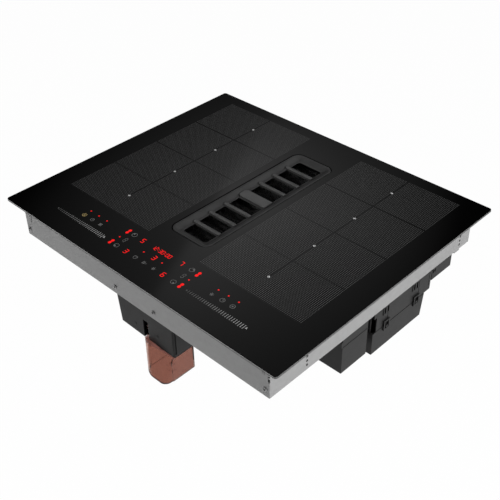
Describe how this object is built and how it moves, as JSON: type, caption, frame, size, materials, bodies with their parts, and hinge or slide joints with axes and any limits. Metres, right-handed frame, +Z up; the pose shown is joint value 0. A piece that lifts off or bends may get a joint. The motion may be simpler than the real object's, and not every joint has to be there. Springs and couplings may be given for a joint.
{
  "type": "downdraft induction cooktop",
  "caption": "Built-in induction hob with a central downdraft inlet, grease filter, drip tank and under-slung blower with a rear duct outlet.",
  "frame": {"origin": "centre of the worktop cut-out, in the plane of the worktop (underside of the rim gasket)", "axes": "+Z up, +X to the user's right along the long side, +Y towards the rear, controls at -Y"},
  "size_m": [0.6, 0.511, 0.198],
  "materials": {
    "ceramic_glass": "polished black ceramic glass with printed patterns",
    "foam": "closed-cell foam strip",
    "cast_iron": "fine cast texture, dark grey coat",
    "steel": "galvanised sheet, satin",
    "stainless": "stainless sheet, satin",
    "aluminium": "mill finish",
    "black_plastic": "fine moulded texture",
    "grey_plastic": "moulded, satin",
    "amber_plastic": "clear amber, glossy",
    "mica": "pressed ceramic fibre",
    "copper": "wound stranded wire",
    "ferrite": "pressed ferrite in a plastic carrier",
    "circuit_board": "green solder mask",
    "zinc": "zinc plated"
  },
  "bodies": {
    "hob": {"glass_top": "ceramic_glass", "rim_gasket": "foam", "steel_tray": "steel", "inlet_well": "black_plastic", "control_carrier": "black_plastic", "touch_board": "circuit_board", "display_block": "grey_plastic", "terminal_block": "grey_plastic", "cable_gland": "black_plastic", "air_housing": "black_plastic", "fan_casing_upper": "black_plastic", "fan_casing_lower": "black_plastic", "inlet_ring": "grey_plastic", "fan_bulkhead": "grey_plastic", "fan_motor": "zinc", "outlet_duct": "black_plastic", "electronics_tub": "black_plastic", "electronics_cover": "black_plastic", "blower_board": "circuit_board", "insulation_left": "mica", "coil_plate_left": "aluminium", "coil_left_1": "copper", "coil_base_left_1": "ferrite", "coil_left_2": "copper", "coil_base_left_2": "ferrite", "coil_left_3": "copper", "coil_base_left_3": "ferrite", "coil_left_4": "copper", "coil_base_left_4": "ferrite", "power_board_left": "circuit_board", "heatsink_left": "aluminium", "cooling_fan_frame_left": "black_plastic", "corner_screw_left": "zinc", "housing_screw_left": "zinc", "insulation_right": "mica", "coil_plate_right": "aluminium", "coil_right_1": "copper", "coil_base_right_1": "ferrite", "coil_right_2": "copper", "coil_base_right_2": "ferrite", "coil_right_3": "copper", "coil_base_right_3": "ferrite", "coil_right_4": "copper", "coil_base_right_4": "ferrite", "power_board_right": "circuit_board", "heatsink_right": "aluminium", "cooling_fan_frame_right": "black_plastic", "corner_screw_right": "zinc", "housing_screw_right": "zinc"},
    "grille": {"inlet_grille": "cast_iron"},
    "filter": {"filter_frame": "stainless", "filter_mesh": "aluminium"},
    "tank": {"drip_tank": "amber_plastic"},
    "blower_rotor": {"impeller": "grey_plastic", "motor_shaft": "stainless"},
    "cooling_rotor_left": {"cooling_fan_rotor_left": "grey_plastic"},
    "cooling_rotor_right": {"cooling_fan_rotor_right": "grey_plastic"}
  },
  "joints": [
    {"name": "grille_lift", "type": "slide", "parent": "hob", "child": "grille", "axis": [0, 0, 1], "range_m": [0, 0.24]},
    {"name": "filter_lift", "type": "slide", "parent": "hob", "child": "filter", "axis": [0, 0, 1], "range_m": [0, 0.12]},
    {"name": "tank_release", "type": "slide", "parent": "hob", "child": "tank", "axis": [0, 0, -1], "range_m": [0, 0.09]},
    {"name": "blower_spin", "type": "hinge", "parent": "hob", "child": "blower_rotor", "pos_m": [0.1, 0.094, -0.121], "axis": [1, 0, 0], "continuous": true},
    {"name": "cooling_spin_left", "type": "hinge", "parent": "hob", "child": "cooling_rotor_left", "pos_m": [-0.1555, -0.1047, -0.05], "axis": [0, 0, 1], "continuous": true},
    {"name": "cooling_spin_right", "type": "hinge", "parent": "hob", "child": "cooling_rotor_right", "pos_m": [0.1555, -0.1047, -0.05], "axis": [0, 0, 1], "continuous": true}
  ],
  "couplings": [
    {"joint": "filter_lift", "follows": "grille_lift", "ratio": 0.5}
  ]
}
